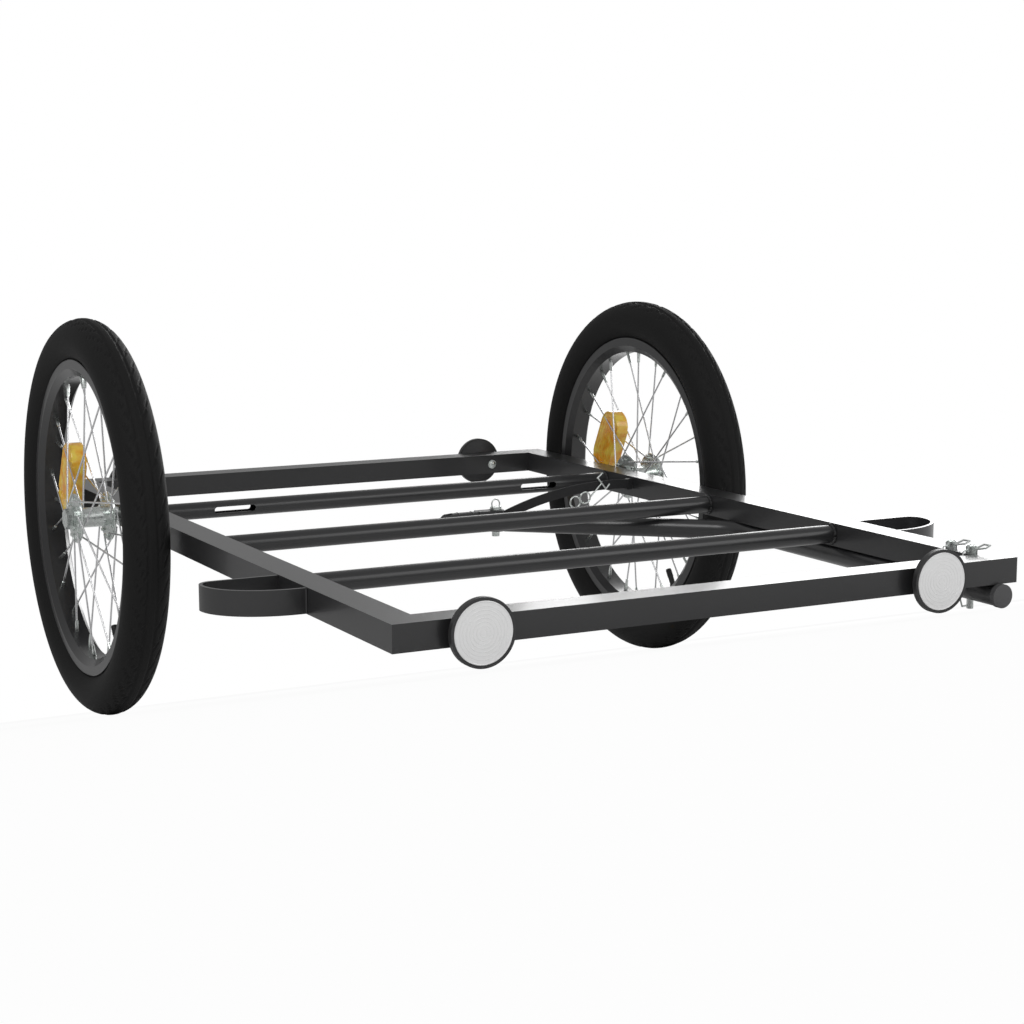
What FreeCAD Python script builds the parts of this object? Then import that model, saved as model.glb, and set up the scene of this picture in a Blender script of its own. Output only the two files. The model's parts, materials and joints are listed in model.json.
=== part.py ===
import FreeCAD, Part
import math
import os

# Flat-bed bicycle cargo trailer. Every piece is modelled with the bed level, in millimetres:
# X to the trailer's left, -Y forward, Z up, Z = 0 on top of the bed, X = Y = 0 at its centre.
# The last step tips the whole trailer nose-down about its axle, until the cap on the end of
# the stowed drawbar rests on the floor, which is how it parks.

doc = FreeCAD.newDocument("bicycle_cargo_trailer")
V = FreeCAD.Vector

SIZES = (
    ("frame_length", 864), ("frame_width", 590), ("tube_height", 22), ("tube_width", 28),
    ("tube_wall", 1.5),
    ("slat_radius", 8.7), ("slat_wall", 1.5), ("slat_spacing", 213), ("slat_middle_y", 9.5),
    ("slot_offset", 178), ("slot_length", 45), ("slot_height", 6.5),
    ("loop_height", 21), ("loop_thickness", 3), ("loop_reach", 72), ("loop_width", 65),
    ("loop_rear_y", -204), ("loop_tip_y", -219), ("loop_rear_round", 14), ("loop_front_round", 66),
    ("wheel_centre_x", 322.5), ("axle_y", 236.7), ("axle_z", -11.6), ("axle_radius", 6),
    ("running_clearance", 0.05),
    ("tyre_radius", 200), ("tyre_half_width", 22), ("tyre_casing", 3.5),
    ("rim_flange_radius", 158.5), ("rim_inner_radius", 143), ("rim_half_width", 14.5),
    ("rim_wall", 2), ("bead_seat_radius", 152.4),
    ("hub_half_length", 21.5), ("hub_flange_radius", 24), ("hub_flange_offset", 16.5),
    ("hub_flange_thickness", 2.6), ("hub_barrel_radius", 10), ("hub_end_radius", 12.5),
    ("spoke_count", 28), ("spoke_radius", 0.9), ("spoke_pitch_radius", 20),
    ("spoke_head_offset", 3.3), ("spoke_end_radius", 146.5),
    ("side_reflector_length", 76), ("side_reflector_height", 38), ("side_reflector_depth", 14),
    ("side_reflector_distance", 74), ("side_reflector_angle", 27),
    ("valve_radius", 3), ("valve_length", 24), ("valve_angle", 237),
    ("disc_radius", 27), ("disc_depth", 5), ("disc_boss_radius", 12), ("disc_standoff", 7),
    ("lens_radius", 24.4), ("lens_depth", 2.4),
    ("front_disc_right_x", -226), ("front_disc_left_x", 203), ("rear_disc_x", 217),
    ("drawbar_radius", 9.75), ("drawbar_wall", 1.5), ("drawbar_x", 276), ("drawbar_drop", 9.85),
    ("drawbar_bend_y", -40), ("drawbar_bend_radius", 60),
    ("cap_radius", 10.4), ("cap_depth", 5),
    ("lock_pin_radius", 3), ("lock_pin_front_y", -395), ("lock_pin_spacing", 27),
    ("lock_pin_below", 8), ("lock_pin_head_radius", 5.2), ("lock_pin_head_height", 6),
    ("hitch_x", 79), ("hitch_y", 127), ("knuckle_radius", 11), ("hitch_pin_radius", 4),
    ("coupler_length", 56), ("coupler_radius", 9), ("eye_radius", 4.5),
    ("strap_width", 10), ("strap_thickness", 2), ("strap_rise", 9),
    ("link_radius", 6.2), ("wire_radius", 0.9),
)

sheet = doc.addObject("Spreadsheet::Sheet", "sizes")
for row, (name, value) in enumerate(SIZES, 1):
    sheet.set("A%d" % row, name)
    sheet.set("B%d" % row, str(value))
    sheet.setAlias("B%d" % row, name)
doc.recompute()


def size(name):
    return float(getattr(sheet, name))


def at(x, y, z, rotation=None):
    return FreeCAD.Placement(V(x, y, z), rotation or FreeCAD.Rotation())


def turn(axis, degrees):
    return FreeCAD.Rotation(axis, degrees)


X, Y, Z = V(1, 0, 0), V(0, 1, 0), V(0, 0, 1)
ALONG_X = turn(Y, 90)       # a primitive's Z axis turned to +X
ALONG_FORWARD = turn(X, 90)  # a primitive's Z axis turned to -Y
ALONG_BACK = turn(X, -90)    # a primitive's Z axis turned to +Y
parts = []


def solid(kind, name, placement, **sizes_by_property):
    """A Part primitive whose sizes follow the sheet."""
    made = doc.addObject("Part::" + kind, name)
    for key, expression in sizes_by_property.items():
        made.setExpression(key, expression)
    made.Placement = placement
    return made


def cylinder(name, placement, radius, height):
    return solid("Cylinder", name, placement, Radius=radius, Height=height)


def box(name, placement, length, width, height):
    return solid("Box", name, placement, Length=length, Width=width, Height=height)


def fuse(name, pieces):
    made = doc.addObject("Part::MultiFuse", name)
    made.Shapes = pieces
    return made


def cut(name, base, tools):
    made = doc.addObject("Part::Cut", name)
    made.Base = base
    made.Tool = tools[0] if len(tools) == 1 else fuse(name + "_tools", tools)
    return made


def keep(node, made):
    made.Label = node
    parts.append(made)
    return made


def rod_between(name, start, end, radius):
    """A cylinder from one point to another."""
    line = end - start
    made = doc.addObject("Part::Cylinder", name)
    made.setExpression("Radius", radius)
    made.Height = line.Length
    made.Placement = FreeCAD.Placement(start, FreeCAD.Rotation(Z, line))
    return made


def closed_sketch(body, name, points):
    """A closed outline of straight lines on the body's XY plane."""
    sketch = body.newObject("Sketcher::SketchObject", name)
    sketch.AttachmentSupport = (body.Origin.OriginFeatures[3], [""])
    sketch.MapMode = "FlatFace"
    corners = [V(x, y, 0) for x, y in points]
    for start, end in zip(corners, corners[1:] + corners[:1]):
        sketch.addGeometry(Part.LineSegment(start, end), False)
    return sketch


def pad_body(name, sketch_name, geometry, length):
    body = doc.addObject("PartDesign::Body", name)
    sketch = body.newObject("Sketcher::SketchObject", sketch_name)
    sketch.AttachmentSupport = (body.Origin.OriginFeatures[3], [""])
    sketch.MapMode = "FlatFace"
    for piece in geometry:
        sketch.addGeometry(piece, False)
    pad = body.newObject("PartDesign::Pad", name + "_pad")
    pad.Profile = sketch
    pad.setExpression("Length", length)
    body.Tip = pad
    return body


def turned_body(name, points):
    """A ring turned about X from an outline given as (x, radius) points."""
    body = doc.addObject("PartDesign::Body", name)
    sketch = closed_sketch(body, name + "_outline", points)
    ring = body.newObject("PartDesign::Revolution", name + "_turned")
    ring.Profile = sketch
    ring.ReferenceAxis = (sketch, ["H_Axis"])
    ring.Angle = 360
    body.Tip = ring
    return body


# ---- bed: four mitred rectangular tubes and three round slats ----
LENGTH, WIDTH = size("frame_length"), size("frame_width")
HEIGHT, TUBE, WALL = size("tube_height"), size("tube_width"), size("tube_wall")
SIDES = (("left", 1), ("right", -1))
lock_pin_ys = (size("lock_pin_front_y"), size("lock_pin_front_y") + size("lock_pin_spacing"))


def mitred_tube(name, length_name, placement, holes=()):
    """A hollow rectangular tube along X: outer side on Y = 0, ends cut at 45 degrees."""
    length = size(length_name)
    outer = box(name + "_outer", at(-length / 2, 0, 0),
                "sizes." + length_name, "sizes.tube_width", "sizes.tube_height")
    bore = box(name + "_bore", at(-length / 2 - 5, WALL, WALL), "sizes.%s + 10" % length_name,
               "sizes.tube_width - 2 * sizes.tube_wall", "sizes.tube_height - 2 * sizes.tube_wall")
    reach = "3 * sizes.tube_width"
    far = box(name + "_far_mitre", at(length / 2 - 1.5 * TUBE, 1.5 * TUBE, -1, turn(Z, -45)),
              reach, reach, "sizes.tube_height + 2")
    near = box(name + "_near_mitre", at(-length / 2 - TUBE, -TUBE, -1, turn(Z, 45)),
               "4 * sizes.tube_width", reach, "sizes.tube_height + 2")
    tube = cut(name, outer, [bore, far, near] + list(holes))
    tube.Placement = placement
    return keep(name, tube)


def rail_holes(name, side):
    """Cutters in a rail's own frame: X along the trailer, Y inward from the outer side."""
    along = size("axle_y") * side
    holes = [cylinder(name + "_axle_hole", at(along, -1, size("axle_z") + HEIGHT, ALONG_BACK),
                      "sizes.axle_radius + sizes.running_clearance", "2 * sizes.tube_wall + 2")]
    if side > 0:
        inward = WIDTH / 2 - size("drawbar_x")
        for number, y in enumerate(lock_pin_ys):
            holes.append(cylinder("%s_pin_hole_%d" % (name, number), at(y, inward, -1),
                                  "sizes.lock_pin_radius + 0.1", "sizes.tube_height + 2"))
    return holes


mitred_tube("front_beam", "frame_width", at(0, -LENGTH / 2, -HEIGHT))
mitred_tube("rear_beam", "frame_width", at(0, LENGTH / 2, -HEIGHT, turn(Z, 180)))
mitred_tube("left_side_rail", "frame_length", at(WIDTH / 2, 0, -HEIGHT, turn(Z, 90)),
            rail_holes("left_side_rail", 1))
mitred_tube("right_side_rail", "frame_length", at(-WIDTH / 2, 0, -HEIGHT, turn(Z, -90)),
            rail_holes("right_side_rail", -1))

slat_half = WIDTH / 2 - TUBE
for name, step in (("front_slat", -1), ("middle_slat", 0), ("rear_slat", 1)):
    y = size("slat_middle_y") + step * size("slat_spacing")
    start = at(-slat_half, y, -HEIGHT / 2, ALONG_X)
    span = "sizes.frame_width - 2 * sizes.tube_width"
    outer = cylinder(name + "_outer", start, "sizes.slat_radius", span)
    tools = [cylinder(name + "_bore", at(-slat_half - 1, y, -HEIGHT / 2, ALONG_X),
                      "sizes.slat_radius - sizes.slat_wall", span + " + 2")]
    if step > 0:
        depth = "2 * sizes.slat_radius + 4"
        back = y - size("slat_radius") - 2
        half = (size("slot_length") - size("slot_height")) / 2
        for side_name, side in SIDES:
            middle = side * size("slot_offset")
            tools.append(box("slot_" + side_name,
                             at(middle - half, back, -(HEIGHT + size("slot_height")) / 2),
                             "sizes.slot_length - sizes.slot_height", depth, "sizes.slot_height"))
            for end in (-half, half):
                tools.append(cylinder("slot_end_" + side_name,
                                      at(middle + end, back, -HEIGHT / 2, ALONG_BACK),
                                      "sizes.slot_height / 2", depth))
    keep(name, cut(name, outer, tools))

# ---- bumper loops: flat bar bent into a D beside each rail ----
def loop_outline(side, inset):
    """Corner points and arcs of one side of the bar, from its rear leg to its front leg."""
    x0 = WIDTH / 2
    tip = x0 + size("loop_reach") - inset
    rear = size("loop_rear_y") - inset
    front = size("loop_rear_y") - size("loop_width") + inset
    tip_y = size("loop_tip_y")
    found = []
    for a, y_leg in ((size("loop_rear_round") - inset, rear),
                     (size("loop_front_round") - inset, front)):
        b = abs(y_leg - tip_y)
        centre = V(side * (tip - a), tip_y, 0)
        end_of_tip = V(side * tip, tip_y, 0)
        end_of_leg = V(side * (tip - a), y_leg, 0)
        if a >= b:
            ellipse = Part.Ellipse(end_of_tip, end_of_leg, centre)
        else:
            ellipse = Part.Ellipse(end_of_leg, end_of_tip, centre)
        first, last = sorted((ellipse.parameter(end_of_tip), ellipse.parameter(end_of_leg)))
        if last - first > math.pi:
            first, last = last, first + 2 * math.pi
        found.append((Part.ArcOfEllipse(ellipse, first, last), end_of_leg,
                      V(side * x0, y_leg, 0)))
    return found


for side_name, side in SIDES:
    geometry = []
    outer, inner = loop_outline(side, 0), loop_outline(side, size("loop_thickness"))
    for arc, leg, root in outer + inner:
        geometry.append(arc)
        geometry.append(Part.LineSegment(leg, root))
    for (_, _, outer_root), (_, _, inner_root) in zip(outer, inner):
        geometry.append(Part.LineSegment(outer_root, inner_root))
    name = side_name + "_bumper_loop"
    loop = pad_body(name, name + "_outline", geometry, "sizes.loop_height")
    loop.Placement = at(0, 0, -(HEIGHT + size("loop_height")) / 2)
    keep(name, loop)


# ---- disc reflectors on the front and rear beams ----
def disc_reflector(name, x, facing):
    """A dished housing on a boss with its lens; facing is -1 forward, 1 rearward."""
    face = facing * LENGTH / 2
    spin = ALONG_FORWARD if facing < 0 else ALONG_BACK
    z = -HEIGHT / 2
    boss = cylinder(name + "_boss", at(x, face, z, spin), "sizes.disc_boss_radius", "3")
    dish = solid("Cone", name + "_dish", at(x, face + facing * 2.5, z, spin),
                 Radius1="sizes.disc_boss_radius", Radius2="sizes.disc_radius - 1.5",
                 Height="sizes.disc_standoff - 2.5")
    rim = cylinder(name + "_rim", at(x, face + facing * size("disc_standoff"), z, spin),
                   "sizes.disc_radius", "sizes.disc_depth")
    floor = face + facing * (size("disc_standoff") + size("disc_depth") - size("lens_depth"))
    recess = cylinder(name + "_recess", at(x, floor, z, spin), "sizes.lens_radius + 0.3",
                      "sizes.lens_depth + 1")
    keep(name + "_housing", cut(name + "_housing", fuse(name + "_body", [boss, dish, rim]),
                                [recess]))
    keep(name + "_lens", cylinder(name + "_lens", at(x, floor, z, spin),
                                  "sizes.lens_radius", "sizes.lens_depth - 0.2"))


disc_reflector("front_left_reflector", size("front_disc_left_x"), -1)
disc_reflector("front_right_reflector", size("front_disc_right_x"), -1)
disc_reflector("rear_left_reflector", size("rear_disc_x"), 1)
disc_reflector("rear_right_reflector", -size("rear_disc_x"), 1)

# ---- stub axles, each set in a rail's outer wall ----
AXLE_Y, AXLE_Z = size("axle_y"), size("axle_z")
hub_half = size("hub_half_length")
end_gap = 0.3
for side_name, side in SIDES:
    name = side_name + "_axle"
    out = ALONG_X if side > 0 else turn(Y, -90)
    wheel = size("wheel_centre_x")
    inner_x = WIDTH / 2 - TUBE + WALL
    outer_x = wheel + hub_half + end_gap
    shaft = cylinder(name + "_shaft", at(side * inner_x, AXLE_Y, AXLE_Z, out),
                     "sizes.axle_radius",
                     "sizes.wheel_centre_x + sizes.hub_half_length + 3 - "
                     "(sizes.frame_width / 2 - sizes.tube_width + sizes.tube_wall)")
    collar = cylinder(name + "_collar", at(side * WIDTH / 2, AXLE_Y, AXLE_Z, out),
                      "1.5 * sizes.axle_radius",
                      "sizes.wheel_centre_x - sizes.hub_half_length - %g "
                      "- sizes.frame_width / 2" % end_gap)
    nut = doc.addObject("Part::Prism", name + "_nut")
    nut.Polygon = 6
    nut.setExpression("Circumradius", "1.75 * sizes.axle_radius")
    nut.Height = 6
    nut.Placement = at(side * outer_x, AXLE_Y, AXLE_Z, out)
    keep(name, fuse(name, [shaft, collar, nut]))


# ---- wheels, built about their own centre with the axle along X ----
def rim_points():
    w, t = size("rim_half_width"), size("rim_wall")
    top, seat, low = (size("rim_flange_radius"), size("bead_seat_radius"),
                      size("rim_inner_radius"))
    right = [(w - 5, low), (w, low + 7), (w, top), (w - t, top), (w - t, seat), (w - 5.5, seat),
             (w - 7.5, low + t)]
    return right + [(-x, r) for x, r in reversed(right)]


def tyre_points():
    """Half-circle casing with a bead at each side, as a closed outline of short steps."""
    outer, half = size("tyre_radius"), size("tyre_half_width")
    casing, seat = size("tyre_casing"), size("bead_seat_radius") + 0.3
    centre = outer - half
    bead = size("rim_half_width") - size("rim_wall") - 0.3
    low = math.asin(-(centre - size("rim_flange_radius") - 2.5) / half)
    steps = 24
    shoulder = size("rim_flange_radius") + 1.5
    right = [(bead, seat), (bead, shoulder)]
    angles = [low + (math.pi / 2 - low) * n / steps for n in range(steps + 1)]
    for angle in angles:
        right.append((half * math.cos(angle), centre + half * math.sin(angle)))
    outside = right[:-1] + [(0, outer)] + [(-x, r) for x, r in reversed(right[:-1])]
    inner = half - casing
    inside = [(bead - casing, seat), (bead - casing, shoulder)]
    for angle in angles:
        inside.append((inner * math.cos(angle), centre + inner * math.sin(angle)))
    inside = inside[:-1] + [(0, outer - casing)] + [(-x, r) for x, r in reversed(inside[:-1])]
    return outside + list(reversed(inside))


def hub_points():
    bore = size("axle_radius") + size("running_clearance")
    flange, half_t = size("hub_flange_offset"), size("hub_flange_thickness") / 2
    right = [(flange - half_t, size("hub_barrel_radius")),
             (flange - half_t, size("hub_flange_radius")),
             (flange + half_t, size("hub_flange_radius")),
             (flange + half_t, size("hub_end_radius")), (hub_half, size("hub_end_radius")),
             (hub_half, bore)]
    return right + [(-x, r) for x, r in reversed(right)]


def spoke_ends():
    """Start and end points of every crossed spoke: each crosses two others on its flange."""
    per_flange = int(size("spoke_count")) // 2
    pitch = 2 * math.pi / per_flange
    found = []
    for flange, twist in ((1, 0.0), (-1, pitch / 2)):
        for k in range(per_flange):
            lean = 1 if k % 2 == 0 else -1
            hub_angle = k * pitch + twist
            rim_angle = hub_angle + lean * 2 * pitch
            x = flange * (size("hub_flange_offset") + lean * size("spoke_head_offset"))
            r0, r1 = size("spoke_pitch_radius"), size("spoke_end_radius")
            found.append((V(x, r0 * math.cos(hub_angle), r0 * math.sin(hub_angle)),
                          V(flange * 2, r1 * math.cos(rim_angle), r1 * math.sin(rim_angle))))
    return found


def side_reflector(name, spokes):
    """A thick stadium between the two sets of spokes, grooved where spokes pass."""
    angle = math.radians(size("side_reflector_angle"))
    far = size("side_reflector_distance")
    depth = size("side_reflector_depth")
    length, height = size("side_reflector_length"), size("side_reflector_height")
    centre = V(0, far * math.cos(angle), far * math.sin(angle))
    tangent = V(0, -math.sin(angle), math.cos(angle))
    straight = (length - height) / 2
    ends = [cylinder(name + "_end", at(-depth / 2, centre.y + s * straight * tangent.y,
                                       centre.z + s * straight * tangent.z, ALONG_X),
                     "sizes.side_reflector_height / 2", "sizes.side_reflector_depth")
            for s in (-1, 1)]
    corner = FreeCAD.Placement(centre, turn(X, math.degrees(angle)))
    middle = box(name + "_middle",
                 corner.multiply(at(-depth / 2, -height / 2, -straight)),
                 "sizes.side_reflector_depth", "sizes.side_reflector_height",
                 "sizes.side_reflector_length - sizes.side_reflector_height")
    grooves = []
    for number, (start, end) in enumerate(spokes):
        line = end - start
        along = max(0.0, min(1.0, (centre - start).dot(line) / line.dot(line)))
        if (start + line * along - centre).Length < length / 2 + 8:
            grooves.append(rod_between("%s_groove_%d" % (name, number), start, end,
                                       "sizes.spoke_radius + 0.25"))
    return cut(name, fuse(name + "_block", ends + [middle]), grooves)


for side_name, side in SIDES:
    centre = at(side * size("wheel_centre_x"), AXLE_Y, AXLE_Z)
    tyre = turned_body(side_name + "_tyre", tyre_points())
    rim = turned_body(side_name + "_rim", rim_points())
    hub = turned_body(side_name + "_hub", hub_points())
    ends = spoke_ends()
    spokes = doc.addObject("Part::Compound", side_name + "_spokes")
    spokes.Links = [rod_between("%s_spoke_%d" % (side_name, n), start, end,
                                "sizes.spoke_radius") for n, (start, end) in enumerate(ends)]
    reflector = side_reflector(side_name + "_wheel_reflector", ends)
    lean = math.radians(size("valve_angle"))
    top = size("rim_inner_radius") - 0.3
    valve_start = V(0, top * math.cos(lean), top * math.sin(lean))
    inward = V(0, -math.cos(lean), -math.sin(lean))
    valve = cylinder(side_name + "_valve_stem",
                     FreeCAD.Placement(valve_start, FreeCAD.Rotation(Z, inward)),
                     "sizes.valve_radius", "sizes.valve_length")
    for node, made in (("tyre", tyre), ("rim", rim), ("hub", hub), ("spokes", spokes),
                       ("wheel_reflector", reflector), ("valve_stem", valve)):
        made.Placement = centre.multiply(made.Placement)
        keep("%s_%s" % (side_name, node), made)

# ---- stowed drawbar under the left rail, with its cap and lock pins ----
BAR_X, BAR_Z = size("drawbar_x"), -HEIGHT - size("drawbar_drop")
hitch = V(size("hitch_x"), size("hitch_y"), BAR_Z)
front_end = V(BAR_X, -LENGTH / 2, BAR_Z)
bend = V(BAR_X, size("drawbar_bend_y"), BAR_Z)
inward = hitch - bend
inward.normalize()
turn_angle = math.acos(inward.y)
setback = size("drawbar_bend_radius") * math.tan(turn_angle / 2)
bend_in = bend - V(0, setback, 0)
bend_out = bend + inward * setback
bend_centre = bend_in - V(size("drawbar_bend_radius"), 0, 0)
half_turn = turn_angle / 2
bend_middle = bend_centre + V(math.cos(half_turn), math.sin(half_turn), 0) * size(
    "drawbar_bend_radius")
bar_end = hitch - inward * (size("knuckle_radius") - 1)


def swept(name, radius, start, end):
    """A round bar along the drawbar's centre line, from start to end."""
    path = doc.addObject("Part::Feature", name + "_path")
    path.Shape = Part.Wire([Part.LineSegment(start, bend_in).toShape(),
                            Part.Arc(bend_in, bend_middle, bend_out).toShape(),
                            Part.LineSegment(bend_out, end).toShape()])
    ring = doc.addObject("Part::Circle", name + "_ring")
    ring.setExpression("Radius", radius)
    ring.Placement = FreeCAD.Placement(start, ALONG_BACK)
    made = doc.addObject("Part::Sweep", name)
    made.Sections = [ring]
    made.Spine = (path, ["Edge1", "Edge2", "Edge3"])
    made.Solid = True
    made.Frenet = False
    return made


pin_holes = [cylinder("drawbar_pin_hole_%d" % n, at(BAR_X, y, BAR_Z - 15),
                      "sizes.lock_pin_radius + 0.1", "30") for n, y in enumerate(lock_pin_ys)]
bore_sweep = swept("drawbar_bore", "sizes.drawbar_radius - sizes.drawbar_wall",
                   front_end - V(0, 1, 0), bar_end + inward)
keep("drawbar_tube", cut("drawbar_tube", swept("drawbar_outer", "sizes.drawbar_radius",
                                               front_end, bar_end), [bore_sweep] + pin_holes))
cap_disc = cylinder("cap_disc", at(BAR_X, -LENGTH / 2, BAR_Z, ALONG_FORWARD),
                    "sizes.cap_radius", "sizes.cap_depth")
cap_plug = cylinder("cap_plug", at(BAR_X, -LENGTH / 2 - 1, BAR_Z, ALONG_BACK),
                    "sizes.drawbar_radius - sizes.drawbar_wall - 0.3", "13")
keep("drawbar_end_cap", fuse("drawbar_end_cap", [cap_disc, cap_plug]))
for node, y in (("front_lock_pin", lock_pin_ys[0]), ("rear_lock_pin", lock_pin_ys[1])):
    below = BAR_Z - size("drawbar_radius") - size("lock_pin_below")
    shaft = cylinder(node + "_shaft", at(BAR_X, y, below), "sizes.lock_pin_radius",
                     "sizes.tube_height + sizes.drawbar_drop + sizes.drawbar_radius "
                     "+ sizes.lock_pin_below + sizes.lock_pin_head_height")
    head = cylinder(node + "_head", at(BAR_X, y, 0), "sizes.lock_pin_head_radius",
                    "sizes.lock_pin_head_height")
    keep(node, fuse(node, [shaft, head]))

# ---- hitch: knuckle on the drawbar, pin, and the coupler that swings on it ----
bar_radius = size("drawbar_radius")
knuckle_top, knuckle_low = BAR_Z + bar_radius - 1, BAR_Z - bar_radius + 1
eye = cylinder("knuckle_eye", at(hitch.x, hitch.y, knuckle_low), "sizes.knuckle_radius",
               "2 * sizes.drawbar_radius - 2")
plug = rod_between("knuckle_plug", hitch, hitch - inward * 30,
                   "sizes.drawbar_radius - sizes.drawbar_wall - 0.3")
knuckle_bore = cylinder("knuckle_bore", at(hitch.x, hitch.y, knuckle_low - 1),
                        "sizes.hitch_pin_radius + sizes.running_clearance", "24")
bar_stop = swept("knuckle_clearance", "sizes.drawbar_radius + 0.3", front_end, bar_end)
eye_clear = cut("knuckle_eye_trimmed", eye, [bar_stop])
keep("hitch_knuckle", cut("hitch_knuckle", fuse("knuckle_body", [eye_clear, plug]),
                          [knuckle_bore]))

ear_low = knuckle_top + end_gap
ear_high = ear_low + 4
pin_shaft = cylinder("hitch_pin_shaft", at(hitch.x, hitch.y, knuckle_low - 6),
                     "sizes.hitch_pin_radius", "%g" % (ear_high + end_gap + 2 - knuckle_low + 6))
pin_head = cylinder("hitch_pin_head", at(hitch.x, hitch.y, ear_high + end_gap),
                    "1.5 * sizes.hitch_pin_radius", "3")
keep("hitch_pin", fuse("hitch_pin", [pin_shaft, pin_head]))

coupler_z = ear_high - size("coupler_radius")
inner_end = hitch.x - size("knuckle_radius") - 5
outer_end = hitch.x - size("coupler_length")
barrel = cylinder("coupler_barrel", at(outer_end, hitch.y, coupler_z, ALONG_X),
                  "sizes.coupler_radius", "%g" % (inner_end - outer_end))
nose = solid("Sphere", "coupler_nose", at(outer_end, hitch.y, coupler_z),
             Radius="sizes.coupler_radius")
ear_round = cylinder("coupler_ear_round", at(hitch.x, hitch.y, ear_low),
                     "0.8 * sizes.knuckle_radius", "4")
ear_bar = box("coupler_ear_bar", at(inner_end - 6, hitch.y - 7, ear_low),
              "%g" % (hitch.x - inner_end + 6), "14", "4")
coupler_bore = cylinder("coupler_bore", at(hitch.x, hitch.y, ear_low - 1),
                        "sizes.hitch_pin_radius + sizes.running_clearance", "6")
coupler_eye = cylinder("coupler_eye", at(outer_end, hitch.y, coupler_z - 12),
                       "sizes.eye_radius", "24")
keep("hitch_coupler", cut("hitch_coupler", fuse("coupler_body",
                                                [barrel, nose, ear_round, ear_bar]),
                          [coupler_bore, coupler_eye]))

# ---- safety strap, arched from the knuckle to the left rail, with its hook and links ----
rail_x = WIDTH / 2 - TUBE
strap_start = V(hitch.x + size("knuckle_radius") + 0.9, hitch.y + 4, BAR_Z + 5.5)
strap_end = V(rail_x - 0.5, 162, -8)
flat = V(strap_end.x - strap_start.x, strap_end.y - strap_start.y, 0)
heading = math.degrees(math.atan2(flat.y, flat.x))
chord = V(flat.Length, strap_end.z - strap_start.z, 0)
normal = V(-chord.y, chord.x, 0)
normal.normalize()
crown = chord * 0.5 + normal * size("strap_rise")
circle = Part.Arc(V(0, 0, 0), crown, chord).toShape().Curve
centre, radius = circle.Center, circle.Radius
first = math.atan2(-centre.y, -centre.x)
last = math.atan2(chord.y - centre.y, chord.x - centre.x)
half_width = size("strap_width") / 2


def on_strap(distance, angle):
    return centre + V(math.cos(angle), math.sin(angle), 0) * distance


strap_sides = []
for distance in (radius - half_width, radius + half_width):
    strap_sides.append(Part.Arc(on_strap(distance, first),
                                on_strap(distance, (first + last) / 2),
                                on_strap(distance, last)))
strap_ends = [Part.LineSegment(on_strap(radius - half_width, angle),
                               on_strap(radius + half_width, angle)) for angle in (first, last)]
strap = pad_body("safety_strap", "strap_outline", strap_sides + strap_ends,
                 "sizes.strap_thickness")
upright = turn(Z, heading).multiply(turn(X, 90))
strap.Placement = FreeCAD.Placement(strap_start, upright)
keep("safety_strap", strap)


def beside_strap(x, z):
    """A point just in front of the strap's forward face."""
    along = (x - strap_start.x) / flat.x
    y = strap_start.y + along * flat.y - size("strap_thickness") - size("wire_radius") - 0.4
    return V(x, y, z)


hook_line = [beside_strap(x, z) for x, z in ((207, -16), (222, -3))]
prongs = [beside_strap(x, z) for x, z in ((223, 8), (216, 3), (222, -3), (228, -10), (233, -5))]
wires = [rod_between("hook_shank", hook_line[0], hook_line[1], "sizes.wire_radius")]
for number, (start, end) in enumerate(zip(prongs, prongs[1:])):
    wires.append(rod_between("hook_prong_%d" % number, start, end, "sizes.wire_radius"))
for number, point in enumerate(prongs[1:-1] + hook_line[:1]):
    wires.append(solid("Sphere", "hook_bend_%d" % number, FreeCAD.Placement(point, turn(Z, 0)),
                       Radius="sizes.wire_radius"))
keep("snap_hook", fuse("snap_hook", wires))

link = size("link_radius")
link_centre = hook_line[0] - V(link + 2.2 * size("wire_radius"), 1.5, 1)
rings = []
for number, point in enumerate((link_centre, link_centre - V(2 * link, 0, 4))):
    rings.append(solid("Torus", "link_%d" % number, FreeCAD.Placement(point, ALONG_FORWARD),
                       Radius1="sizes.link_radius", Radius2="sizes.wire_radius"))
keep("strap_links", fuse("strap_links", rings))

doc.recompute()

# ---- park it: nose down about the axle until the drawbar cap meets the floor ----
wheel_radius = size("tyre_radius")
cap_forward = AXLE_Y + LENGTH / 2 + size("cap_depth")
cap_below = AXLE_Z - (BAR_Z - size("cap_radius"))
theta = (math.asin(wheel_radius / math.hypot(cap_forward, cap_below))
         - math.atan2(cap_below, cap_forward))
tip = FreeCAD.Placement(V(0, 0, wheel_radius), turn(X, math.degrees(theta))).multiply(
    at(0, -AXLE_Y, -AXLE_Z))
lowest_y, highest_y = [], []
for made in parts:
    shape = made.Shape.copy()
    shape.Placement = tip.multiply(shape.Placement)
    bounds = shape.optimalBoundingBox(False)
    lowest_y.append(bounds.YMin)
    highest_y.append(bounds.YMax)
park = at(0, -(min(lowest_y) + max(highest_y)) / 2, 0).multiply(tip)
for made in parts:
    made.Placement = park.multiply(made.Placement)
doc.recompute()

os.makedirs("parts", exist_ok=True)
for made in doc.Objects:
    if "Invalid" in made.State or "Error" in made.State:
        raise RuntimeError("%s did not build" % made.Name)
for made in parts:
    if made.Shape.isNull() or not made.Shape.isValid():
        raise RuntimeError("%s has no valid shape" % made.Label)
    made.Shape.exportStep("parts/%s.step" % made.Label)
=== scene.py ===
import json
import math

import bpy
from mathutils import Matrix, Vector


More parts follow.
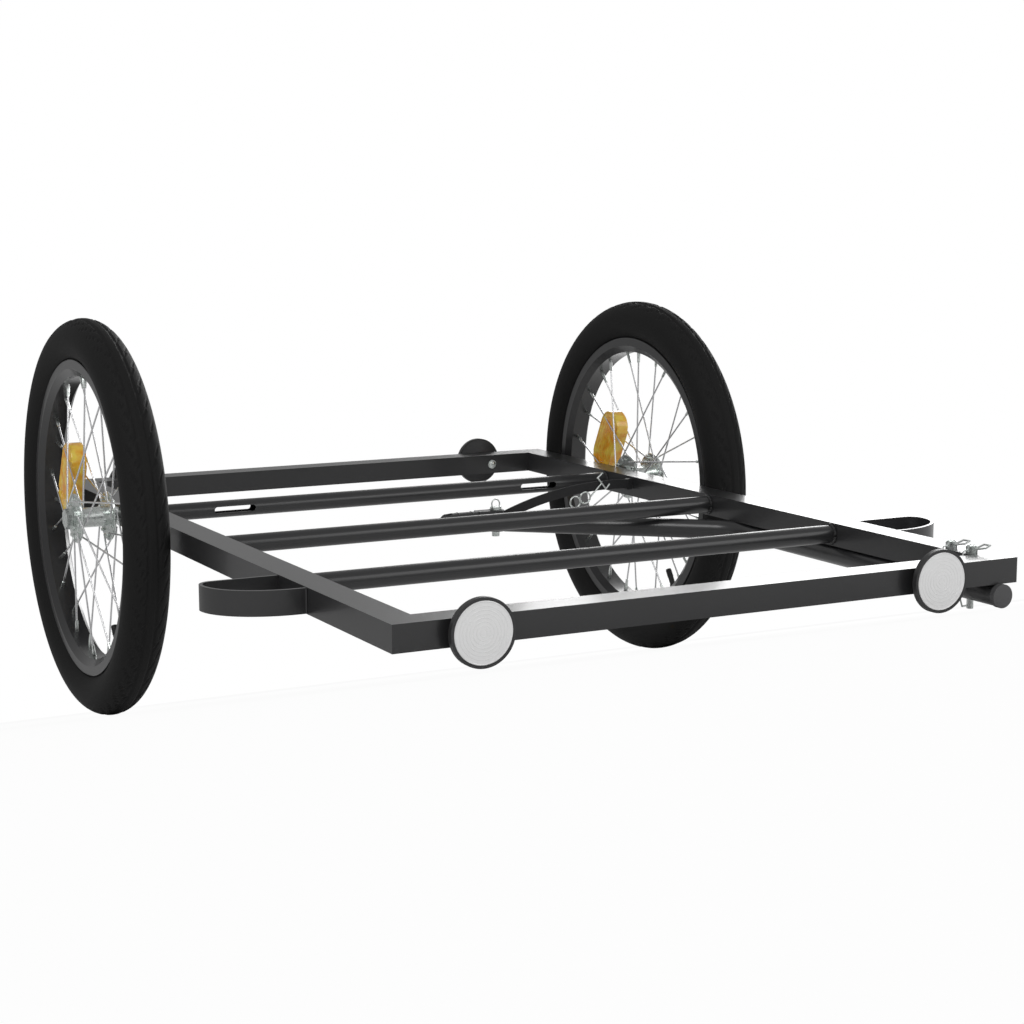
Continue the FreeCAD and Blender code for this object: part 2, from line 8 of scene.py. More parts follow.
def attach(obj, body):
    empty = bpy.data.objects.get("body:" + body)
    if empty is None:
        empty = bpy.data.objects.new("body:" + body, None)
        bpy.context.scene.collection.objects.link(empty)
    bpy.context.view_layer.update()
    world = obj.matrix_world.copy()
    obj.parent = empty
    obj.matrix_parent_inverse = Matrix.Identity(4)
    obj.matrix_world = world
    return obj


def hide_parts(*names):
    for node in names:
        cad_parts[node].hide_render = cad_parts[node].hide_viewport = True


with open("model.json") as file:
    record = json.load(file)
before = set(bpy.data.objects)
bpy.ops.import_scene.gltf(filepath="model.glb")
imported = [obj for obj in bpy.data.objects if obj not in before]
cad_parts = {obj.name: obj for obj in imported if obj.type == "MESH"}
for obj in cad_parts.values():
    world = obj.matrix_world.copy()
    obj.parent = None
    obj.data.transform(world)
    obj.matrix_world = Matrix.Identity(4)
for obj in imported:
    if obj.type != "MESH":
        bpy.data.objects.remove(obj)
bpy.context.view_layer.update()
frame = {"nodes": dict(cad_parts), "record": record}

# The trailer is described with its bed level, in metres, and tipped by PARK to where it stands.
TILT = math.radians(14.646306)
AXLE_Y, AXLE_Z, WHEEL_R = 0.2367, -0.0116, 0.200
SHIFT_Y = 0.229160
WHEEL_X = 0.3225
PARK = (Matrix.Translation((0, SHIFT_Y, WHEEL_R)) @ Matrix.Rotation(TILT, 4, "X")
        @ Matrix.Translation((0, -AXLE_Y, -AXLE_Z)))
BED_MID_Z = -0.011
RAIL_IN, RAIL_OUT = 0.267, 0.295
TUBE_WIDTH = 0.028
FRAME_HALF_Y = 0.432
HITCH_Y = 0.127


# ---- materials ----
COAT_ROUGHNESS = 0.1
NOISE_DETAIL = 4.0
BUMP_DISTANCE = 0.0005
RAMP_ENDS = (0.35, 0.65)


def new_material(name, colour, roughness, metallic=0.0, coat=0.0, specular=0.5):
    mat = bpy.data.materials.new(name)
    mat.use_nodes = True
    bsdf = mat.node_tree.nodes["Principled BSDF"]
    bsdf.inputs["Base Color"].default_value = (*colour, 1)
    bsdf.inputs["Roughness"].default_value = roughness
    bsdf.inputs["Metallic"].default_value = metallic
    bsdf.inputs["Coat Weight"].default_value = coat
    bsdf.inputs["Coat Roughness"].default_value = COAT_ROUGHNESS
    bsdf.inputs["Specular IOR Level"].default_value = specular
    return mat


def add_noise(mat, scale, bump, rough=None, colours=None):
    """Fine procedural bump, with the same noise breaking up roughness or colour."""
    nodes, links = mat.node_tree.nodes, mat.node_tree.links
    bsdf = nodes["Principled BSDF"]
    coords = nodes.new("ShaderNodeTexCoord")
    noise = nodes.new("ShaderNodeTexNoise")
    noise.inputs["Scale"].default_value = scale
    noise.inputs["Detail"].default_value = NOISE_DETAIL
    links.new(coords.outputs["Object"], noise.inputs["Vector"])
    bump_node = nodes.new("ShaderNodeBump")
    bump_node.inputs["Strength"].default_value = bump
    bump_node.inputs["Distance"].default_value = BUMP_DISTANCE
    links.new(noise.outputs["Fac"], bump_node.inputs["Height"])
    links.new(bump_node.outputs["Normal"], bsdf.inputs["Normal"])
    if rough:
        spread = nodes.new("ShaderNodeMapRange")
        spread.inputs["To Min"].default_value, spread.inputs["To Max"].default_value = rough
        links.new(noise.outputs["Fac"], spread.inputs["Value"])
        links.new(spread.outputs["Result"], bsdf.inputs["Roughness"])
    if colours:
        ramp = nodes.new("ShaderNodeValToRGB")
        for element, colour, position in zip(ramp.color_ramp.elements, colours, RAMP_ENDS):
            element.color = (*colour, 1)
            element.position = position
        links.new(noise.outputs["Fac"], ramp.inputs["Fac"])
        links.new(ramp.outputs["Color"], bsdf.inputs["Base Color"])
    return mat


PAINT = add_noise(new_material("black_powder_coat", (0.022, 0.022, 0.023), 0.32, coat=0.25),
                  scale=1400, bump=0.10, rough=(0.26, 0.38))
WELD = add_noise(new_material("weld_paint", (0.02, 0.02, 0.021), 0.35, coat=0.2),
                 scale=500, bump=0.35)
RIM = add_noise(new_material("rim_black", (0.014, 0.014, 0.015), 0.30, coat=0.3),
                scale=900, bump=0.06, rough=(0.24, 0.36))
TYRE = add_noise(new_material("tyre_rubber", (0.008, 0.008, 0.008), 0.72, specular=0.22),
                 scale=700, bump=0.30, rough=(0.62, 0.82))
RUBBER = add_noise(new_material("black_rubber", (0.014, 0.014, 0.014), 0.65),
                   scale=600, bump=0.2)
PLASTIC = add_noise(new_material("black_plastic", (0.028, 0.028, 0.029), 0.42),
                    scale=900, bump=0.12)
CAP = add_noise(new_material("end_cap_plastic", (0.075, 0.075, 0.077), 0.5),
                scale=900, bump=0.12)
WHITE_LENS = new_material("white_lens", (0.86, 0.86, 0.86), 0.12, coat=0.6)
RED_LENS = new_material("red_lens", (0.52, 0.012, 0.012), 0.12, coat=0.6)
ZINC = add_noise(new_material("zinc_steel", (0.70, 0.73, 0.71), 0.28, metallic=1.0),
                 scale=260, bump=0.05, rough=(0.2, 0.36),
                 colours=((0.60, 0.65, 0.62), (0.80, 0.82, 0.81)))
SPOKE = add_noise(new_material("spoke_steel", (0.74, 0.74, 0.75), 0.25, metallic=1.0),
                  scale=300, bump=0.02)
WEBBING = add_noise(new_material("webbing", (0.018, 0.018, 0.019), 0.85),
                    scale=1200, bump=0.4)
AMBER = add_noise(new_material("amber_lens", (0.90, 0.42, 0.03), 0.10, coat=0.6),
                  scale=90, bump=0.10, colours=((0.90, 0.36, 0.012), (1.0, 0.74, 0.09)))
AMBER.node_tree.nodes["Principled BSDF"].inputs["Transmission Weight"].default_value = 0.12
AMBER.node_tree.nodes["Principled BSDF"].inputs["IOR"].default_value = 1.49

BY_SLOT = {"black_powder_coat": PAINT, "rim_paint": RIM, "tyre_rubber": TYRE,
           "black_rubber": RUBBER, "black_plastic": PLASTIC, "white_lens": WHITE_LENS,
           "red_lens": RED_LENS, "amber_lens": AMBER, "zinc_steel": ZINC, "webbing": WEBBING}


def finish_cad_nodes():
    """Each CAD node takes its slot's material; spokes and the drawbar's cap have their own."""
    for part in frame["record"]["subparts"]:
        mat = BY_SLOT[part["material_slot"]]
        if part["node"].endswith("_spokes"):
            mat = SPOKE
        if part["node"] == "drawbar_end_cap":
            mat = CAP
        materials = frame["nodes"][part["node"]].data.materials
        materials.clear()
        materials.append(mat)


# ---- mesh helpers: every shape is a list of points and faces in level coordinates ----
SMOOTH_ANGLE = math.radians(40)
DOME_TIP_SHARE = 0.02


def angles(count):
    return [2 * math.pi * k / count for k in range(count)]


def circle(centre, turn, radius, sides, height=0.0):
    """Points of a circle about the turned Z axis, raised along it by height."""
    return [centre + turn @ Vector((radius * math.cos(t), radius * math.sin(t), height))
            for t in angles(sides)]


def facing(normal):
    return Vector(normal).to_track_quat("Z", "Y")


class Shape:
    """Points and faces gathered from simple forms, made into one object at the end."""

    def __init__(self):
        self.points, self.faces = [], []

    def grid(self, rows, close_rows=False, close_columns=False):
        """Quads between rows of points of equal length."""
        base, count, width = len(self.points), len(rows), len(rows[0])
        for row in rows:
            self.points.extend(row)
        for i in range(count if close_rows else count - 1):
            for j in range(width if close_columns else width - 1):
                a = base + i * width + j
                b = base + i * width + (j + 1) % width
                c = base + ((i + 1) % count) * width + (j + 1) % width
                d = base + ((i + 1) % count) * width + j
                self.faces.append((a, b, c, d))

    def cap(self, ring, flip=False):
        """One face that closes a ring of points."""
        base = len(self.points)
        self.points.extend(ring)
        order = range(base, base + len(ring))
        self.faces.append(tuple(reversed(order)) if flip else tuple(order))

    def rod(self, start, end, radius, sides=12, end_radius=None):
        """A closed round bar, which may taper to end_radius."""
        start, end = Vector(start), Vector(end)
        turn = facing(end - start)
        base = len(self.points)
        self.points.extend(circle(start, turn, radius, sides)
                           + circle(end, turn, end_radius or radius, sides))
        for k in range(sides):
            n = (k + 1) % sides
            self.faces.append((base + k, base + n, base + sides + n, base + sides + k))
        self.faces.append(tuple(reversed(range(base, base + sides))))
        self.faces.append(tuple(range(base + sides, base + 2 * sides)))

    def wire(self, path, radius, sides=8, closed=False):
        """A round wire through the points of a path."""
        path = [Vector(p) for p in path]
        count = len(path)
        rows = []
        for i, point in enumerate(path):
            before = path[i - 1] if i or closed else point
            after = path[(i + 1) % count] if i < count - 1 or closed else point
            rows.append(circle(point, facing(after - before), radius, sides))
        self.grid(rows, close_rows=closed, close_columns=True)
        if not closed:
            self.cap(rows[0], flip=True)
            self.cap(rows[-1])

    def dome(self, centre, normal, radius, height, sides=20, rings=5):
        """A closed round cap that rises by height along its normal."""
        centre, turn = Vector(centre), facing(normal)
        rows = []
        for i in range(rings + 1):
            a = math.pi / 2 * i / rings
            rows.append(circle(centre, turn, max(radius * math.cos(a), radius * DOME_TIP_SHARE),
                               sides, height * math.sin(a)))
        self.grid(rows, close_columns=True)
        self.cap(rows[0], flip=True)
        self.cap(rows[-1])

    def ring(self, centre, normal, radius, wire, sides=40, around=10):
        """A torus about the normal."""
        centre, turn = Vector(centre), facing(normal)
        rows = []
        for t in angles(sides):
            out = Vector((math.cos(t), math.sin(t), 0))
            rows.append([centre + turn @ (out * (radius + wire * math.cos(s))
                                          + Vector((0, 0, wire * math.sin(s))))
                         for s in angles(around)])
        self.grid(rows, close_rows=True, close_columns=True)

    def box(self, centre, half, turn):
        base = len(self.points)
        for x in (-1, 1):
            for y in (-1, 1):
                for z in (-1, 1):
                    self.points.append(
                        centre + turn @ Vector((x * half[0], y * half[1], z * half[2])))
        for face in ((0, 1, 3, 2), (4, 6, 7, 5), (0, 4, 5, 1), (2, 3, 7, 6), (0, 2, 6, 4),
                     (1, 5, 7, 3)):
            self.faces.append(tuple(base + k for k in face))

    def make(self, name, mat, body, slot):
        """The gathered shape as one smooth-shaded object, tipped to where the trailer stands."""
        mesh = bpy.data.meshes.new(name)
        mesh.from_pydata([tuple(PARK @ Vector(p)) for p in self.points], [], self.faces)
        mesh.validate()
        mesh.update()
        obj = bpy.data.objects.new(name, mesh)
        bpy.context.collection.objects.link(obj)
        mesh.materials.append(mat)
        bpy.context.view_layer.objects.active = obj
        obj.select_set(True)
        bpy.ops.object.shade_auto_smooth(angle=SMOOTH_ANGLE)
        obj.select_set(False)
        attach(obj, body)
        return obj


def wheel_point(side, x, radius, angle):
    """A point by its distance from the axle's line and its angle about it."""
    return Vector((side * WHEEL_X + x, AXLE_Y + radius * math.cos(angle),
                   AXLE_Z + radius * math.sin(angle)))


# ---- tyres: a finer mesh in place of the plain casing, with a cut tread ----
TYRE_CENTRE_R, TYRE_HALF, CASING = 0.178, 0.022, 0.0035
SHOULDER_DROP = 0.017                   # the round casing stops this far inside its centre
BEAD_X, BEAD_LOW_R, BEAD_TOP_R = 0.0122, 0.1527, 0.1600
BEAD_INNER_SHARE = 0.72
PROFILE_STEPS, TREAD_STEPS = 44, 288
TREAD_HALF, TREAD_FADE = 0.0165, 0.0015
GROOVE_DEPTH, GROOVE_HALF = 0.0012, 0.0007
GROOVES_AT = (0.0042, 0.0105)           # grooves that run right round, each side of the crown
CROSS_EVERY, CROSS_FROM = 6, 0.0048     # cross cuts: their spacing in steps, and where they begin
CROSS_SLANT = 700                       # steps that a cross cut runs on for each metre across


def tyre_profile():
    """(x, radius, tread share) round the outside of the casing, from bead to bead."""
    low = math.asin(-SHOULDER_DROP / TYRE_HALF)
    points = [(BEAD_X, BEAD_LOW_R, 0), (BEAD_X, BEAD_TOP_R, 0)]
    for n in range(PROFILE_STEPS + 1):
        a = low + (math.pi - 2 * low) * n / PROFILE_STEPS
        across = math.cos(a) * TYRE_HALF
        share = 0.0
        if math.sin(a) > 0:
            share = max(0.0, min(1.0, (TREAD_HALF - abs(across)) / TREAD_FADE))
        points.append((across, TYRE_CENTRE_R + TYRE_HALF * math.sin(a), share))
    return points + [(-BEAD_X, BEAD_TOP_R, 0), (-BEAD_X, BEAD_LOW_R, 0)]


def inner_point(x, r):
    """The place on the casing's inner face that faces a place on its outside."""
    if r <= BEAD_TOP_R:
        return x * BEAD_INNER_SHARE, r
    return (x * (TYRE_HALF - CASING) / TYRE_HALF,
            TYRE_CENTRE_R + (r - TYRE_CENTRE_R) * (TYRE_HALF - CASING) / TYRE_HALF)


def tread_depth(x, step, share):
    """How deep the rubber is cut at a place on the crown."""
    across = abs(x)
    in_groove = any(abs(across - place) < GROOVE_HALF for place in GROOVES_AT)
    in_cross_cut = (step + int(across * CROSS_SLANT)) % CROSS_EVERY == 0 and across > CROSS_FROM
    return GROOVE_DEPTH * share if in_groove or in_cross_cut else 0.0


def build_tyre(side_name, side):
    shape = Shape()
    profile = tyre_profile()
    inner = [inner_point(x, r) for x, r, _ in reversed(profile)]
    rows = []
    for step, t in enumerate(angles(TREAD_STEPS)):
        outside = [wheel_point(side, x, r - tread_depth(x, step, share), t)
                   for x, r, share in profile]
        rows.append(outside + [wheel_point(side, x, r, t) for x, r in inner])
    shape.grid(rows, close_rows=True, close_columns=True)
    tyre = shape.make(side_name + "_tyre_tread", TYRE, side_name + "_wheel", "tyre_rubber")
    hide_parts(side_name + "_tyre")


# ---- wheel details: nipples, spoke heads, hub rings, rim bead line, valve cap ----
SPOKES, CROSSING = 28, 2                # each spoke leads or trails by CROSSING hub holes
FLANGE_X, HUB_HOLE_R = 0.0165, 0.020
HEAD_X, HEAD_THROUGH_X, HEAD_THROUGH_R = 0.0033, 0.0030, 0.0195
HEAD_WIRE, HEAD_R, HEAD_HEIGHT, HEAD_BEND = 0.0010, 0.0021, 0.0012, 0.6
RIM_HOLE_X, SPOKE_END_R = 0.002, 0.1465
NIPPLE_FROM, NIPPLE_TO = 0.016, 0.003   # the nipple's two ends, back from the spoke's end
NIPPLE_R, NIPPLE_FOOT_R = 0.0015, 0.0020
HUB_END_X = 0.0215
HUB_END_RINGS = ((0.0008, 0.0118, 0.0007), (0.0004, 0.0088, 0.0006))    # inset, radius, wire
FLANGE_RING_R, FLANGE_RING_WIRE = 0.0238, 0.0013
RIM_BEAD_X, RIM_BEAD_R, RIM_BEAD_WIRE = 0.0135, 0.1583, 0.0011
VALVE_ANGLE, VALVE_FOOT_R, VALVE_TIP_R = math.radians(237), 0.1425, 0.1185
VALVE_BOOT, VALVE_BOOT_R, VALVE_BOOT_TIP_R = 0.006, 0.0046, 0.0034
VALVE_RIBS, VALVE_RIB_START, VALVE_RIB_PITCH = 5, 0.009, 0.0017
VALVE_RIB_R, VALVE_RIB_WIRE = 0.0031, 0.0004


def build_spoke_ends(side_name, side):
    """A nipple at each spoke's rim end, and its bent head through the hub flange."""
    nipples, heads = Shape(), Shape()
    per_flange = SPOKES // 2
    pitch = 2 * math.pi / per_flange
    for flange, twist in ((1, 0.0), (-1, pitch / 2)):
        for k in range(per_flange):
            lean = 1 if k % 2 == 0 else -1
            hub_angle = k * pitch + twist
            start = wheel_point(side, flange * (FLANGE_X + lean * HEAD_X), HUB_HOLE_R, hub_angle)
            end = wheel_point(side, flange * RIM_HOLE_X, SPOKE_END_R,
                              hub_angle + lean * CROSSING * pitch)
            line = (end - start).normalized()
            nipples.rod(end - line * NIPPLE_FROM, end - line * NIPPLE_TO, NIPPLE_R, 10,
                        NIPPLE_FOOT_R)
            through = wheel_point(side, flange * (FLANGE_X - lean * HEAD_THROUGH_X),
                                  HEAD_THROUGH_R, hub_angle)
            heads.wire([start, start * HEAD_BEND + through * (1 - HEAD_BEND), through], HEAD_WIRE)
            heads.dome(through, (flange * -lean, 0, 0), HEAD_R, HEAD_HEIGHT, 12, 3)
    nipples.make(side_name + "_spoke_nipples", ZINC, side_name + "_wheel", "zinc_steel")
    heads.make(side_name + "_spoke_heads", ZINC, side_name + "_wheel", "zinc_steel")


def build_hub_rings(side_name, side):
    hub = Shape()
    for way in (-1, 1):
        for inset, radius, wire in HUB_END_RINGS:
            hub.ring(wheel_point(side, way * HUB_END_X - way * inset, 0, 0), (1, 0, 0),
                     radius, wire)
    for way in (-1, 1):
        hub.ring(wheel_point(side, way * FLANGE_X, 0, 0), (1, 0, 0), FLANGE_RING_R,
                 FLANGE_RING_WIRE, 56, 10)
    hub.make(side_name + "_hub_rings", ZINC, side_name + "_wheel", "zinc_steel")


def build_rim_bead(side_name, side):
    beads = Shape()
    for way in (-1, 1):
        beads.ring(wheel_point(side, way * RIM_BEAD_X, 0, 0), (1, 0, 0), RIM_BEAD_R,
                   RIM_BEAD_WIRE, 160, 8)
    beads.make(side_name + "_rim_bead", RIM, side_name + "_wheel", "rim_paint")


def build_valve_cap(side_name, side):
    """The rubber boot at the valve's foot, and the ribs of its cap."""
    valve = Shape()
    foot = wheel_point(side, 0, VALVE_FOOT_R, VALVE_ANGLE)
    tip = wheel_point(side, 0, VALVE_TIP_R, VALVE_ANGLE)
    inward = (tip - foot).normalized()
    valve.rod(foot, foot + inward * VALVE_BOOT, VALVE_BOOT_R, 16, VALVE_BOOT_TIP_R)
    for n in range(VALVE_RIBS):
        valve.ring(tip + inward * (-VALVE_RIB_START + n * VALVE_RIB_PITCH), inward,
                   VALVE_RIB_R, VALVE_RIB_WIRE, 18, 6)
    valve.make(side_name + "_valve_cap", RUBBER, side_name + "_wheel", "black_rubber")


# ---- ribs and raised borders on both faces of the amber wheel reflector ----
REFLECTOR_ANGLE, REFLECTOR_R = math.radians(27), 0.074
REFLECTOR_FACE_X = 0.0068
REFLECTOR_STRAIGHT, REFLECTOR_END_R = 0.019, 0.019      # half the straight side; the round ends
REFLECTOR_BORDERS = ((0.0012, 0.0011), (0.0060, 0.0008), (0.0110, 0.0007))  # inset, wire
BORDER_ARC_STEPS = 12
RIBS_EACH_SIDE, RIB_PITCH, RIB_WIRE = 2, 0.0036, 0.0006
RIB_FIELD_R = 0.008                     # round ends of the field that the ribs fill


def build_reflector_ribs(side_name, side):
    ribs = Shape()
    middle = wheel_point(side, 0, REFLECTOR_R, REFLECTOR_ANGLE)
    radial = Vector((0, math.cos(REFLECTOR_ANGLE), math.sin(REFLECTOR_ANGLE)))
    tangent = Vector((0, -math.sin(REFLECTOR_ANGLE), math.cos(REFLECTOR_ANGLE)))
    for face in (-1, 1):
        surface = middle + Vector((face * REFLECTOR_FACE_X, 0, 0))
        for inset, wire in REFLECTOR_BORDERS:
            outline = []
            for end, first in ((1, 0.0), (-1, math.pi)):
                for n in range(BORDER_ARC_STEPS + 1):
                    a = first + math.pi * n / BORDER_ARC_STEPS
                    outline.append(surface + tangent * (end * REFLECTOR_STRAIGHT)
                                   + (radial * math.cos(a) + tangent * math.sin(a))
                                   * (REFLECTOR_END_R - inset))
            ribs.wire(outline, wire, 8, closed=True)
        for n in range(-RIBS_EACH_SIDE, RIBS_EACH_SIDE + 1):
            off = n * RIB_PITCH
            half = REFLECTOR_STRAIGHT + math.sqrt(RIB_FIELD_R ** 2 - off ** 2)
            ribs.rod(surface + radial * off - tangent * half,
                     surface + radial * off + tangent * half, RIB_WIRE, 6)
    ribs.make(side_name + "_wheel_reflector_ribs", AMBER, side_name + "_wheel", "amber_lens")


# ---- welds: a bead round each slat end, and one down each foot of the bumper loops ----
SLAT_YS = (-0.2035, 0.0095, 0.2225)
SLAT_BEAD_GAP, SLAT_BEAD_R, SLAT_BEAD_RIPPLE, SLAT_BEAD_POINTS = 0.0009, 0.0091, 0.0004, 48
RIPPLE_STEP = 2.1
LOOP_FOOT_YS = (-0.2042, -0.2688)
LOOP_BEAD_GAP, LOOP_BEAD_TOP, LOOP_BEAD_LENGTH, LOOP_BEAD_STEPS = 0.0006, -0.0008, 0.0204, 10
WELD_WIRE = 0.0013


def build_welds():
    welds = Shape()
    for y in SLAT_YS:
        for side in (-1, 1):
            bead = []
            for i, t in enumerate(angles(SLAT_BEAD_POINTS)):
                r = SLAT_BEAD_R + SLAT_BEAD_RIPPLE * math.sin(i * RIPPLE_STEP)
                bead.append((side * (RAIL_IN - SLAT_BEAD_GAP), y + r * math.cos(t),
                             BED_MID_Z + r * math.sin(t)))
            welds.wire(bead, WELD_WIRE, 8, closed=True)
    for side in (-1, 1):
        for y in LOOP_FOOT_YS:
            welds.wire([(side * (RAIL_OUT + LOOP_BEAD_GAP), y,
                         LOOP_BEAD_TOP - LOOP_BEAD_LENGTH * n / LOOP_BEAD_STEPS)
                        for n in range(LOOP_BEAD_STEPS + 1)], WELD_WIRE, 8)
    welds.make("weld_beads", WELD, "chassis", "black_powder_coat")


# ---- disc reflectors: the bolts behind them, and the rings moulded in their lenses ----
# name, x, which end of the bed (-1 front, 1 rear), material and slot of the lens
DISCS = (("front_right", -0.226, -1, WHITE_LENS, "white_lens"),
         ("front_left", 0.203, -1, WHITE_LENS, "white_lens"),
         ("rear_right", -0.217, 1, RED_LENS, "red_lens"),
         ("rear_left", 0.217, 1, RED_LENS, "red_lens"))
WASHER, WASHER_R, BOLT_HEAD_R, BOLT_HEAD_HEIGHT = 0.001, 0.0052, 0.0044, 0.0028
LENS_FACE = 0.0118                      # how far the lens stands out from the beam
LENS_RIM_R, LENS_RIM_WIRE, LENS_RIM_SINK = 0.0238, 0.0006, 0.0002
PRISM_RINGS, PRISM_PITCH, PRISM_WIRE, PRISM_SINK = 7, 0.0029, 0.0005, 0.0003


def build_reflector_bolts():
    bolts = Shape()
    for _, x, end, _, _ in DISCS:
        face = end * (FRAME_HALF_Y - TUBE_WIDTH)
        bolts.rod((x, face, BED_MID_Z), (x, face - end * WASHER, BED_MID_Z), WASHER_R, 24)
        bolts.dome((x, face - end * WASHER, BED_MID_Z), (0, -end, 0), BOLT_HEAD_R,
                   BOLT_HEAD_HEIGHT)
    bolts.make("reflector_bolts", ZINC, "chassis", "zinc_steel")


def build_lens_rings():
    for name, x, end, mat, slot in DISCS:
        lens = Shape()
        y = end * (FRAME_HALF_Y + LENS_FACE)
        lens.ring((x, y - end * LENS_RIM_SINK, BED_MID_Z), (0, end, 0), LENS_RIM_R,
                  LENS_RIM_WIRE, 72, 8)
        for n in range(1, PRISM_RINGS + 1):
            lens.ring((x, y - end * PRISM_SINK, BED_MID_Z), (0, end, 0), PRISM_PITCH * n,
                      PRISM_WIRE, 56, 6)
        lens.make(name + "_lens_rings", mat, "chassis", slot)


# ---- wire bails on the two lock pins, and the ring on the hitch pin ----
PIN_X, PIN_YS, BAR_LOW = 0.276, (-0.395, -0.368), -0.0416
BAIL_WIRE = 0.0008
PIN_RING_Z, PIN_RING_R, PIN_RING_WIRE = 0.0062, 0.0040, 0.0005
# both paths are offsets from the pin's own x and y, with z as it is
BAIL_PATH = ((-0.0052, -0.0012, 0.0030), (-0.0105, -0.002, 0.0022), (-0.0135, -0.003, -0.010),
             (-0.0135, -0.003, -0.040), (-0.0105, -0.002, BAR_LOW - 0.0050),
             (-0.002, 0, BAR_LOW - 0.0052))
PULL_PATH = ((0.0050, 0, 0.0030), (0.0120, -0.002, 0.0062), (0.0130, -0.009, 0.0062),
             (0.0040, -0.013, 0.0050), (-0.0040, -0.009, 0.0042))
HITCH_RING_X, HITCH_RING_Z, HITCH_RING_FACES = 0.079, -0.0128, (0.2, -1, 0.1)
HITCH_RING_R, HITCH_RING_WIRE = 0.0052, 0.0007


def build_pin_wires():
    wires = Shape()
    for pin_y in PIN_YS:
        wires.ring((PIN_X, pin_y, PIN_RING_Z), (0, 0, 1), PIN_RING_R, PIN_RING_WIRE, 24, 6)
        for path in (BAIL_PATH, PULL_PATH):
            wires.wire([(PIN_X + x, pin_y + y, z) for x, y, z in path], BAIL_WIRE)
    wires.ring((HITCH_RING_X, HITCH_Y, HITCH_RING_Z), HITCH_RING_FACES, HITCH_RING_R,
               HITCH_RING_WIRE, 32, 8)
    wires.make("pin_wires", ZINC, "chassis", "zinc_steel")


# ---- the clip that holds the strap's end on the rail ----
STRAP_END = Vector((0.2665, 0.162, -0.008))
CLIP_OFFSET, CLIP_HALF, CLIP_TURN = Vector((0.0045, 0.0008, 0.0)), (0.0035, 0.0022, 0.0058), 0.175


def build_strap_clip():
    clip = Shape()
    clip.box(STRAP_END - CLIP_OFFSET, CLIP_HALF, Matrix.Rotation(CLIP_TURN, 3, "Z"))
    clip.make("strap_end_clip", PLASTIC, "chassis", "black_plastic")


# ---- rings on the drawbar's end cap, and on the coupler's body ----
CAP_RINGS, CAP_RING_Y, CAP_RING_PITCH, CAP_RING_Z = 3, -0.4335, 0.0012, -0.03185
CAP_RING_R, CAP_RING_WIRE = 0.0101, 0.0003
COUPLER_RING_XS, COUPLER_Z = (0.034, 0.050), -0.02780
COUPLER_RING_R, COUPLER_RING_WIRE = 0.0088, 0.0007


def build_end_cap_rings():
    trim = Shape()
    for n in range(CAP_RINGS):
        trim.ring((PIN_X, CAP_RING_Y - n * CAP_RING_PITCH, CAP_RING_Z), (0, 1, 0), CAP_RING_R,
                  CAP_RING_WIRE, 40, 6)
    trim.make("end_cap_rings", CAP, "chassis", "black_plastic")


def build_coupler_rings():
    collar = Shape()
    for x in COUPLER_RING_XS:
        collar.ring((x, HITCH_Y, COUPLER_Z), (1, 0, 0), COUPLER_RING_R, COUPLER_RING_WIRE, 36, 8)
    collar.make("coupler_rings", PLASTIC, "coupler", "black_plastic")


# ---- floor, world and lamps ----
WHITE = (1, 1, 1, 1)
FLOOR_SIZE, FLOOR_Z = 60, -0.0005
FLOOR_GLOW = 0.93                       # how much of the floor that the camera sees is plain white
WORLD_STRENGTH = 0.40


def build_floor():
    """A pale floor, nearly white where the camera sees it and plain diffuse for other rays."""
    mat = new_material("pale_floor", (0.9, 0.9, 0.9), 0.9, specular=0.1)
    nodes, links = mat.node_tree.nodes, mat.node_tree.links
    rays = nodes.new("ShaderNodeLightPath")
    amount = nodes.new("ShaderNodeMath")
    amount.operation = "MULTIPLY"
    amount.inputs[1].default_value = FLOOR_GLOW
    glow = nodes.new("ShaderNodeEmission")
    mix = nodes.new("ShaderNodeMixShader")
    links.new(rays.outputs["Is Camera Ray"], amount.inputs[0])
    links.new(amount.outputs[0], mix.inputs[0])
    links.new(nodes["Principled BSDF"].outputs[0], mix.inputs[1])
    links.new(glow.outputs[0], mix.inputs[2])
    links.new(mix.outputs[0], nodes["Material Output"].inputs["Surface"])
    bpy.ops.mesh.primitive_plane_add(size=FLOOR_SIZE, location=(0, 0, FLOOR_Z))
    floor = bpy.context.object
    floor.name = "floor"
    floor.data.materials.append(mat)


def build_world():
    """White for camera and transmission rays, and dimmer for the light on the object."""
    world = bpy.data.worlds.new("studio")
    bpy.context.scene.world = world
    world.use_nodes = True
    nodes, links = world.node_tree.nodes, world.node_tree.links
    base = nodes["Background"]
    base.inputs["Color"].default_value = WHITE
    base.inputs["Strength"].default_value = WORLD_STRENGTH
    white = nodes.new("ShaderNodeBackground")
    white.inputs["Color"].default_value = WHITE
    rays = nodes.new("ShaderNodeLightPath")
    seen = nodes.new("ShaderNodeMath")
    seen.operation = "MAXIMUM"
    mix = nodes.new("ShaderNodeMixShader")
    links.new(rays.outputs["Is Camera Ray"], seen.inputs[0])
    links.new(rays.outputs["Is Transmission Ray"], seen.inputs[1])
    links.new(seen.outputs[0], mix.inputs[0])
    links.new(base.outputs[0], mix.inputs[1])
    links.new(white.outputs[0], mix.inputs[2])
    links.new(mix.outputs[0], nodes["World Output"].inputs["Surface"])


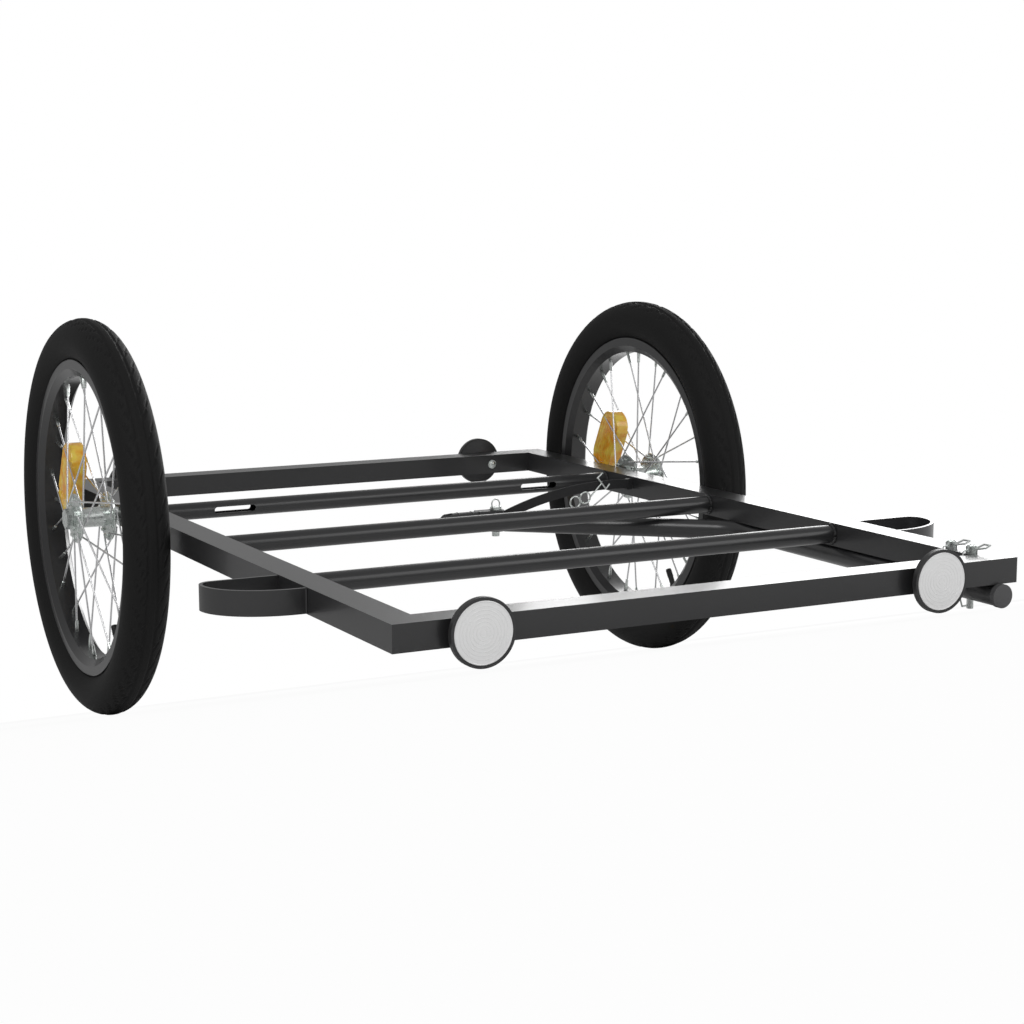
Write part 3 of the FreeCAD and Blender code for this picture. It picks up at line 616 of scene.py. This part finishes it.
def lamp(name, place, target, size, energy):
    """A square area lamp at a place, turned to its target."""
    data = bpy.data.lights.new(name, "AREA")
    data.size = size
    data.energy = energy
    obj = bpy.data.objects.new(name, data)
    obj.location = place
    obj.rotation_euler = (Vector(target) - Vector(place)).to_track_quat("-Z", "Y").to_euler()
    bpy.context.collection.objects.link(obj)


# ---- camera: just above the floor, at the photograph's angle ----
CAMERA_X, CAMERA_Y, CAMERA_Z = -0.8910, -1.7742, 0.0060
CAMERA_YAW, CAMERA_PITCH, CAMERA_ROLL = 0.4801, 0.0725, -0.1203
CAMERA_LENS, CLIP_START = 71.4, 0.01


def build_camera():
    yaw, pitch, roll = CAMERA_YAW, CAMERA_PITCH, CAMERA_ROLL
    ahead = Vector((math.sin(yaw) * math.cos(pitch), math.cos(yaw) * math.cos(pitch),
                    math.sin(pitch)))
    level_right = Vector((math.cos(yaw), -math.sin(yaw), 0))
    level_up = level_right.cross(ahead)
    right = math.cos(roll) * level_right + math.sin(roll) * level_up
    up = -math.sin(roll) * level_right + math.cos(roll) * level_up
    data = bpy.data.cameras.new("camera")
    data.lens = CAMERA_LENS
    data.clip_start = CLIP_START
    camera = bpy.data.objects.new("camera", data)
    camera.matrix_world = Matrix((
        (right.x, up.x, -ahead.x, CAMERA_X),
        (right.y, up.y, -ahead.y, CAMERA_Y),
        (right.z, up.z, -ahead.z, CAMERA_Z),
        (0, 0, 0, 1)))
    bpy.context.collection.objects.link(camera)
    bpy.context.scene.camera = camera


# ---- everything in order ----
finish_cad_nodes()
for side_name, side in (("left", 1), ("right", -1)):
    build_tyre(side_name, side)
    build_spoke_ends(side_name, side)
    build_hub_rings(side_name, side)
    build_rim_bead(side_name, side)
    build_valve_cap(side_name, side)
    build_reflector_ribs(side_name, side)
build_welds()
build_reflector_bolts()
build_lens_rings()
build_pin_wires()
build_strap_clip()
build_end_cap_rings()
build_coupler_rings()

build_floor()
build_world()
lamp("key", (-2.2, -2.4, 2.6), target=(0, 0, 0.15), size=1.8, energy=42)
lamp("rear_right", (2.6, 2.2, 1.6), target=(0.1, 0, 0.1), size=2.2, energy=62)
lamp("front_fill", (1.6, -2.8, 0.9), target=(0, 0, 0.1), size=1.6, energy=14)
build_camera()
bpy.context.scene.view_settings.view_transform = "Standard"
